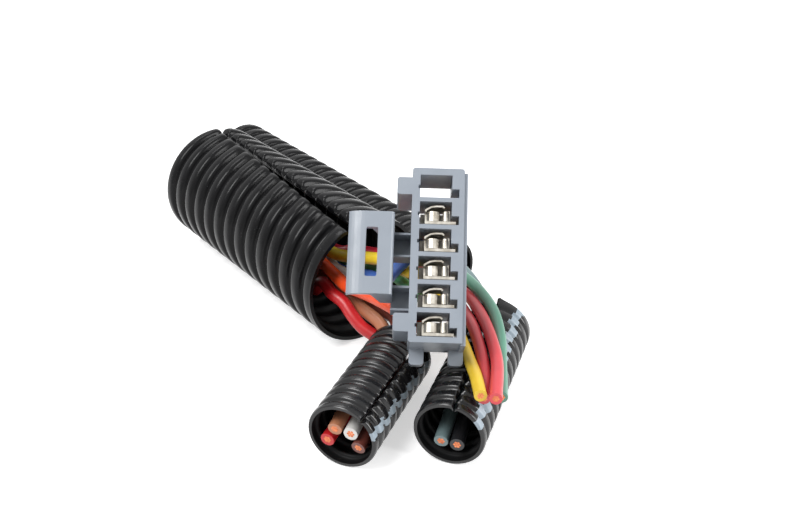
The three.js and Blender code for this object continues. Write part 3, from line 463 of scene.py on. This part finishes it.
def cut_strands(name, diameter, ends):
    """Seven short round strands, one in the middle and six round it, at each (end, point before it)."""
    strand = COPPER_SHARE * diameter / 6
    points, faces = [], []
    for end, before in ends:
        ahead = Vector(end - before).normalized()
        side = ahead.cross(Vector((0, 0, 1))).normalized()
        up = side.cross(ahead)
        for n in range(7):
            turn = n * math.pi / 3
            reach = 2 * strand if n < 6 else 0.0
            middle = Vector(end) + (side * math.cos(turn) + up * math.sin(turn)) * reach
            first = len(points)
            for forward, share in STRAND_RINGS:
                for k in range(STRAND_SIDES):
                    around = 2 * math.pi * k / STRAND_SIDES
                    spoke = side * math.cos(around) + up * math.sin(around)
                    points.append(middle + ahead * forward + spoke * strand * share)
            for ring in (0, STRAND_SIDES):
                for k in range(STRAND_SIDES):
                    a, b = first + ring + k, first + ring + (k + 1) % STRAND_SIDES
                    faces.append((a, a + STRAND_SIDES, b + STRAND_SIDES, b))
            faces.append(tuple(first + k for k in range(STRAND_SIDES)))
            faces.append(tuple(first + 2 * STRAND_SIDES + k for k in reversed(range(STRAND_SIDES))))
    mesh = bpy.data.meshes.new(name + "_strands")
    mesh.from_pydata([place(point) for point in points], [], faces)
    mesh.materials.append(bare_copper)
    piece = bpy.data.objects.new(name + "_strands", mesh)
    bpy.context.scene.collection.objects.link(piece)
    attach(piece, "root")
    return piece


# %% [markdown]
# A wire that is crimped into a terminal shows strands at its far end only.

# %% Lay the wires
CRIMPED = ("wire_dark_red", "wire_blue", "wire_yellow", "wire_green", "wire_orange")


def lay_wire(name, diameter, colour, points):
    """A round wire along its route, in place of its solid, and its length in millimetres."""
    kind = name.removeprefix("wire_")
    route = smooth_route(points)
    curve = bpy.data.curves.new(name, "CURVE")
    curve.dimensions = "3D"
    curve.bevel_depth = diameter / 2 * MM
    curve.bevel_resolution = 6
    curve.use_fill_caps = True
    spline = curve.splines.new("POLY")
    spline.points.add(len(route) - 1)
    for target, point in zip(spline.points, route):
        target.co = (*place(point), 1)
    spline.use_smooth = True
    wire = bpy.data.objects.new(name + "_run", curve)
    bpy.context.scene.collection.objects.link(wire)
    curve.materials.append(insulation("insulation_" + kind, *colour))
    length = float(np.linalg.norm(np.diff(route, axis=0), axis=1).sum())
    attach(wire, "root")
    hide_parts(name)
    ends = [(route[-1], route[-2])] + ([] if name in CRIMPED else [(route[0], route[1])])
    strands = cut_strands(name, diameter, ends)
    return wire, length


for name, diameter, colour, points in WIRES:
    wire, length = lay_wire(name, diameter, colour, points)
    print(f"{wire.name}: {length:.0f} mm")

# %% [markdown]
# ## Corrugated looms
# Split loom is a thin tube with broad, domed ribs and narrow grooves, slit along its whole
# length so that wires can be laid in. The wall keeps its thickness, so the ribs show inside too. A
# revolve modifier can't leave a wandering slit, so the wall is swept here in mesh code: one closed
# wall outline, repeated round the axis from one lip of the slit to the other. The mouth is cut
# through a crest, so the first rib starts at nearly full height, and the far end stops within a rib.

# %% The rib's profile
RIB = [(0.00, 0.58), (0.03, 0.77), (0.08, 0.90), (0.15, 0.97), (0.23, 1.0), (0.32, 1.0), (0.41, 0.99),
       (0.49, 0.955), (0.55, 0.88), (0.60, 0.74), (0.65, 0.46), (0.70, 0.13), (0.77, 0.0), (0.86, 0.0),
       (0.92, 0.10), (0.97, 0.36)]


MOUTH_SHARE = 0.3
MOUTH_HEIGHT = 0.94
LAST_SHARE = 0.62


def rib_samples(ribs):
    """Places along the loom in pitches, with the height there from 0 in the groove to 1 on the crest."""
    places = []
    for rib in range(ribs):
        for t, height in RIB:
            at_mouth = rib == 0 and t <= MOUTH_SHARE
            places.append((rib + t, max(height, MOUTH_HEIGHT) if at_mouth else height))
    places += [(ribs + t, height) for t, height in RIB if t <= LAST_SHARE]
    return np.array(places)


# %% [markdown]
# At the slit the ribs are pinched: each one rounds down to its groove within a couple of
# millimetres of the lip. The two lips also creep past each other a little, so that the ribs on one
# side stand against the grooves on the other. Where a lip has been handled, its corner at the mouth
# stands up. The reaches below are in millimetres from the last lip, and LIFT_ALONG from the mouth.
# The rings of points crowd together at the slit, where the shape changes fastest.

# %% Sweep the wall round the axis
RING_CROWDING = 0.35
LIP_HEIGHT = 0.12
CREST_THICKENING = 0.35
LIFT_ROUND = 1.8
LIFT_ALONG = 2.5
CREEP_REACH = 9.0
CREEP_ONSET = 6
END_FADE = 8


def loom_mesh(radius, pitch, ribs, groove, wall, sides, slit_from, slit_to, gap, gap_end, creep, pinch,
              lift=0.0):
    """The wall's points in millimetres with X along the loom, its faces, and which of them are inside."""
    samples = rib_samples(ribs)
    height = samples[:, 1]
    along = samples[:, 0] * pitch
    share = along / along[-1]
    slit = np.radians(slit_from + (slit_to - slit_from) * share)
    half = (gap + (gap_end - gap) * share) / (2 * radius)
    fade = np.clip(share * END_FADE, 0, 1) * np.clip((1 - share) * END_FADE, 0, 1)
    rings = []
    for j in range(sides + 1):
        turn = j / sides
        turn = turn - RING_CROWDING * math.sin(2 * math.pi * turn) / (2 * math.pi)
        angle = slit + half + (2 * math.pi - 2 * half) * turn
        to_last_lip = (1 - turn) * 2 * math.pi * radius
        to_lip = min(turn, 1 - turn) * 2 * math.pi * radius
        full = min(1.0, to_lip / pinch)
        rise = height * (LIP_HEIGHT + (1 - LIP_HEIGHT) * math.sqrt(1 - (1 - full) ** 2))
        raised = lift * math.exp(-to_last_lip / LIFT_ROUND) * np.exp(-along / LIFT_ALONG)
        outer = radius - groove * (1 - rise) + raised
        inner = outer - wall - CREST_THICKENING * wall * height
        drag = creep * pitch * math.exp(-to_last_lip / CREEP_REACH)
        shift = drag * (1 - (1 - share) ** CREEP_ONSET) * fade
        for r in (outer, inner):
            rings.append(np.stack([along + shift, r * np.sin(angle), r * np.cos(angle)], 1))
    count = len(samples)
    vertices = np.concatenate(rings)
    faces, inside = [], []
    for j in range(sides):
        o, i = 2 * j * count, (2 * j + 1) * count
        p, q = o + 2 * count, i + 2 * count
        for k in range(count - 1):
            faces += [(o + k, o + k + 1, p + k + 1, p + k), (i + k, q + k, q + k + 1, i + k + 1)]
            inside += [False, True]
        faces += [(o, p, q, i), (o + count - 1, i + count - 1, q + count - 1, p + count - 1)]
        inside += [False, False]
    for o, i, flip in ((0, count, True), (2 * sides * count, (2 * sides + 1) * count, False)):
        for k in range(count - 1):
            face = (o + k, o + k + 1, i + k + 1, i + k)
            faces.append(face[::-1] if flip else face)
            inside.append(False)
    return vertices, faces, inside


EDGE_ANGLE = math.radians(50)


def loom_piece(node, finish, mouth, heading, radius, **shape):
    """A ribbed loom that lies on the floor from its mouth along its heading, in place of its solid."""
    points, faces, inside = loom_mesh(radius, **shape)
    turn = math.radians(heading)
    ahead = np.array([math.cos(turn), math.sin(turn), 0])
    right = np.array([ahead[1], -ahead[0], 0])
    centre = np.array([mouth[0], mouth[1], radius])
    world = centre + points[:, :1] * ahead + points[:, 1:2] * right + points[:, 2:3] * np.array([0, 0, 1])
    mesh = bpy.data.meshes.new(node + "_ribbed")
    mesh.from_pydata([place(point) for point in world], [], faces)
    mesh.materials.append(finish)
    # Faces inside the tube take the darker copy of the black, which is painted shade.
    mesh.materials.append(loom_inside_painted_shade)
    mesh.polygons.foreach_set("material_index", np.array(inside, np.int32))
    mesh.shade_smooth()
    mesh.set_sharp_from_angle(angle=EDGE_ANGLE)
    piece = bpy.data.objects.new(node + "_ribbed", mesh)
    bpy.context.scene.collection.objects.link(piece)
    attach(piece, "root")
    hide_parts(node)
    print(f"{piece.name}: {len(mesh.polygons)} faces")
    return piece


# %% [markdown]
# The two thick looms lie side by side on one heading, and the two branches are cut from the same
# loom. Lengths are in millimetres and angles in degrees. A slit's angle is counted from the top.

# %% The four looms
BACK_HEADING = 128.36
BRANCH_RADIUS = 10.2
BRANCH_PITCH = 4.35
LEFT_MOUTH, LEFT_HEADING = (-9.8, 12.1), -112.5
RIGHT_MOUTH, RIGHT_HEADING = (21.5, 26.2), -109.6

loom_piece("trunk_loom", loom_black, (-20.8, 36.7), BACK_HEADING, 21.5,
           pitch=7.0, ribs=13, groove=2.2, wall=0.9, sides=120, slit_from=-12, slit_to=11,
           gap=3.2, gap_end=1.3, creep=0.5, pinch=2.8)
loom_piece("second_loom", loom_black, (6.21, 55.91), BACK_HEADING, 12.5,
           pitch=6.8, ribs=19, groove=1.5, wall=0.8, sides=72, slit_from=150, slit_to=150,
           gap=1.2, gap_end=0.8, creep=0.0, pinch=1.4)
left_branch = loom_piece(
    "left_branch_loom", branch_black, LEFT_MOUTH, LEFT_HEADING, BRANCH_RADIUS,
    pitch=BRANCH_PITCH, ribs=9, groove=1.2, wall=0.7, sides=72, slit_from=-44, slit_to=-40,
    gap=0.9, gap_end=0.6, creep=0.3, pinch=1.0)
right_branch = loom_piece(
    "right_branch_loom", branch_black, RIGHT_MOUTH, RIGHT_HEADING, BRANCH_RADIUS,
    pitch=BRANCH_PITCH, ribs=12, groove=1.2, wall=0.7, sides=72, slit_from=8, slit_to=-8,
    gap=1.2, gap_end=0.6, creep=0.3, pinch=1.0, lift=1.7)

# %% [markdown]
# ## Tracer stripes
# The two branch looms have a grey stripe, put on before the tube was corrugated, so it steps
# sideways a little from rib to rib. Giving those faces a second material keeps the steps crisp,
# which a painted mask across the ribs would blur.

# %% Put the stripes on
CREST_OFFSET = 0.2
STRIPE_STEP = 4.0
STRIPE_RHYTHM = 2.4
LEFT_TRACK = [(1.5, -86), (22, -79), (42, -72)]
RIGHT_TRACK = [(6, -40), (11, -42), (19, -45), (24, -49), (55, -56)]


def add_stripe(piece, mouth, heading, track, width):
    """track lists (distance from the mouth, angle from the top) in mm and degrees."""
    piece.data.materials.append(tracer_grey)
    tracer = len(piece.data.materials) - 1
    turn = math.radians(heading)
    ahead = Vector((math.cos(turn), math.sin(turn), 0))
    right = Vector((ahead.y, -ahead.x, 0))
    centre = place((mouth[0], mouth[1], BRANCH_RADIUS))
    striped = 0
    for face in piece.data.polygons:
        if face.material_index:
            continue
        offset = face.center - centre
        along = offset.dot(ahead) / MM
        across, up = offset.dot(right) / MM, offset.z / MM
        rib = math.floor(along / BRANCH_PITCH + CREST_OFFSET)
        middle = np.interp(rib * BRANCH_PITCH, [t[0] for t in track], [t[1] for t in track])
        middle += STRIPE_STEP * math.sin(rib * STRIPE_RHYTHM)
        away = (math.degrees(math.atan2(across, up)) - middle + 180) % 360 - 180
        if abs(away) < width / 2:
            face.material_index = tracer
            striped += 1
    print(f"{piece.name}: {striped} striped faces")


add_stripe(left_branch, LEFT_MOUTH, LEFT_HEADING, LEFT_TRACK, width=13)
add_stripe(right_branch, RIGHT_MOUTH, RIGHT_HEADING, RIGHT_TRACK, width=16)

# %% [markdown]
# ## Connector housing
# The housing is one moulding and its solid already has the right shape, so the CAD node stays.
# A Bevel modifier rounds its edges by a few tenths of a millimetre: without that, no edge catches
# the light, and the piece looks cut from card.

# %% Dress the housing
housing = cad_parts["connector_housing"]
housing.data.materials.clear()
housing.data.materials.append(nylon_grey)
bevel = housing.modifiers.new("moulded_edges", "BEVEL")
bevel.width = 0.4 * MM
bevel.segments = 2
bevel.limit_method = "ANGLE"
bevel.angle_limit = math.radians(35)
bevel.harden_normals = True
print("housing modifiers:", [modifier.name for modifier in housing.modifiers])

# %% Dress the terminals
for row in range(2, 7):
    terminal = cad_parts[f"terminal_{row}"]
    terminal.data.materials.clear()
    terminal.data.materials.append(tin_plate)
    rounding = terminal.modifiers.new("stamped_edges", "BEVEL")
    rounding.width = 0.08 * MM
    rounding.segments = 2
    rounding.limit_method = "ANGLE"
    rounding.angle_limit = math.radians(40)

# %% [markdown]
# ## Floor and light
# The floor is white to the camera and still takes a soft shadow: a plain diffuse surface carries
# the shadow, and a little light of its own, seen only by the camera and in reflections, lifts it to
# white. The light itself is a studio tent: a pale world, a wide key above left, a weaker light from
# the right, and a small one above and behind.

# %% Which rays see the background
def background_rays(nodes, links):
    """1 for the rays of the camera, of reflections and of clear materials, 0 for those that light."""
    path = nodes.new("ShaderNodeLightPath")
    mirrored = nodes.new("ShaderNodeMath")
    mirrored.operation = "MAXIMUM"
    links.new(path.outputs["Is Glossy Ray"], mirrored.inputs[0])
    links.new(path.outputs["Is Transmission Ray"], mirrored.inputs[1])
    seen = nodes.new("ShaderNodeMath")
    seen.operation = "MAXIMUM"
    links.new(path.outputs["Is Camera Ray"], seen.inputs[0])
    links.new(mirrored.outputs[0], seen.inputs[1])
    return seen.outputs[0]


# %% Floor
FLOOR_HALF = 0.8
FLOOR_DROP = 0.0001


def make_floor():
    """A white sheet, just under the part."""
    mesh = bpy.data.meshes.new("floor")
    corners = [(x * FLOOR_HALF, y * FLOOR_HALF, 0) for x, y in ((-1, -1), (1, -1), (1, 1), (-1, 1))]
    mesh.from_pydata(corners, [], [(0, 1, 2, 3)])
    floor = bpy.data.objects.new("floor", mesh)
    bpy.context.scene.collection.objects.link(floor)
    floor.location.z = -FLOOR_DROP
    material = bpy.data.materials.new("floor_white")
    material.use_nodes = True
    nodes, links = material.node_tree.nodes, material.node_tree.links
    nodes.clear()
    out = nodes.new("ShaderNodeOutputMaterial")
    diffuse = nodes.new("ShaderNodeBsdfDiffuse")
    diffuse.inputs["Color"].default_value = (0.8, 0.8, 0.8, 1)
    glow = nodes.new("ShaderNodeEmission")
    seen = background_rays(nodes, links)
    both = nodes.new("ShaderNodeAddShader")
    strength = nodes.new("ShaderNodeMath")
    strength.operation = "MULTIPLY"
    strength.inputs[1].default_value = 0.55
    links.new(seen, strength.inputs[0])
    links.new(strength.outputs[0], glow.inputs["Strength"])
    links.new(diffuse.outputs[0], both.inputs[0])
    links.new(glow.outputs[0], both.inputs[1])
    links.new(both.outputs[0], out.inputs["Surface"])
    mesh.materials.append(material)


make_floor()

# %% World and lamps
def make_world():
    """A white surround that lights the part less than it shows to the background's rays."""
    world = bpy.data.worlds.new("studio")
    bpy.context.scene.world = world
    world.use_nodes = True
    nodes, links = world.node_tree.nodes, world.node_tree.links
    background = nodes["Background"]
    background.inputs["Color"].default_value = (1, 1, 1, 1)
    level = nodes.new("ShaderNodeMapRange")
    links.new(background_rays(nodes, links), level.inputs["Value"])
    level.inputs["To Min"].default_value = 0.32
    level.inputs["To Max"].default_value = 1.0
    links.new(level.outputs["Result"], background.inputs["Strength"])


def softbox(name, location, target, size, power):
    """A rectangular lamp of the given size in metres, turned to its target."""
    lamp = bpy.data.lights.new(name, "AREA")
    lamp.shape = "RECTANGLE"
    lamp.size, lamp.size_y = size
    lamp.energy = power
    stand = bpy.data.objects.new(name, lamp)
    bpy.context.scene.collection.objects.link(stand)
    stand.location = location
    stand.rotation_euler = (Vector(target) - Vector(location)).to_track_quat("-Z", "Y").to_euler()


make_world()
aim = (0, 0, 0.03)
softbox("key_above_left", (-0.42, -0.3, 0.78), aim, size=(0.45, 0.45), power=7.6)
softbox("fill_right", (0.72, -0.26, 0.34), aim, size=(0.4, 0.5), power=6.0)
softbox("top_behind", (-0.2, 0.35, 0.75), aim, size=(0.4, 0.2), power=1.6)
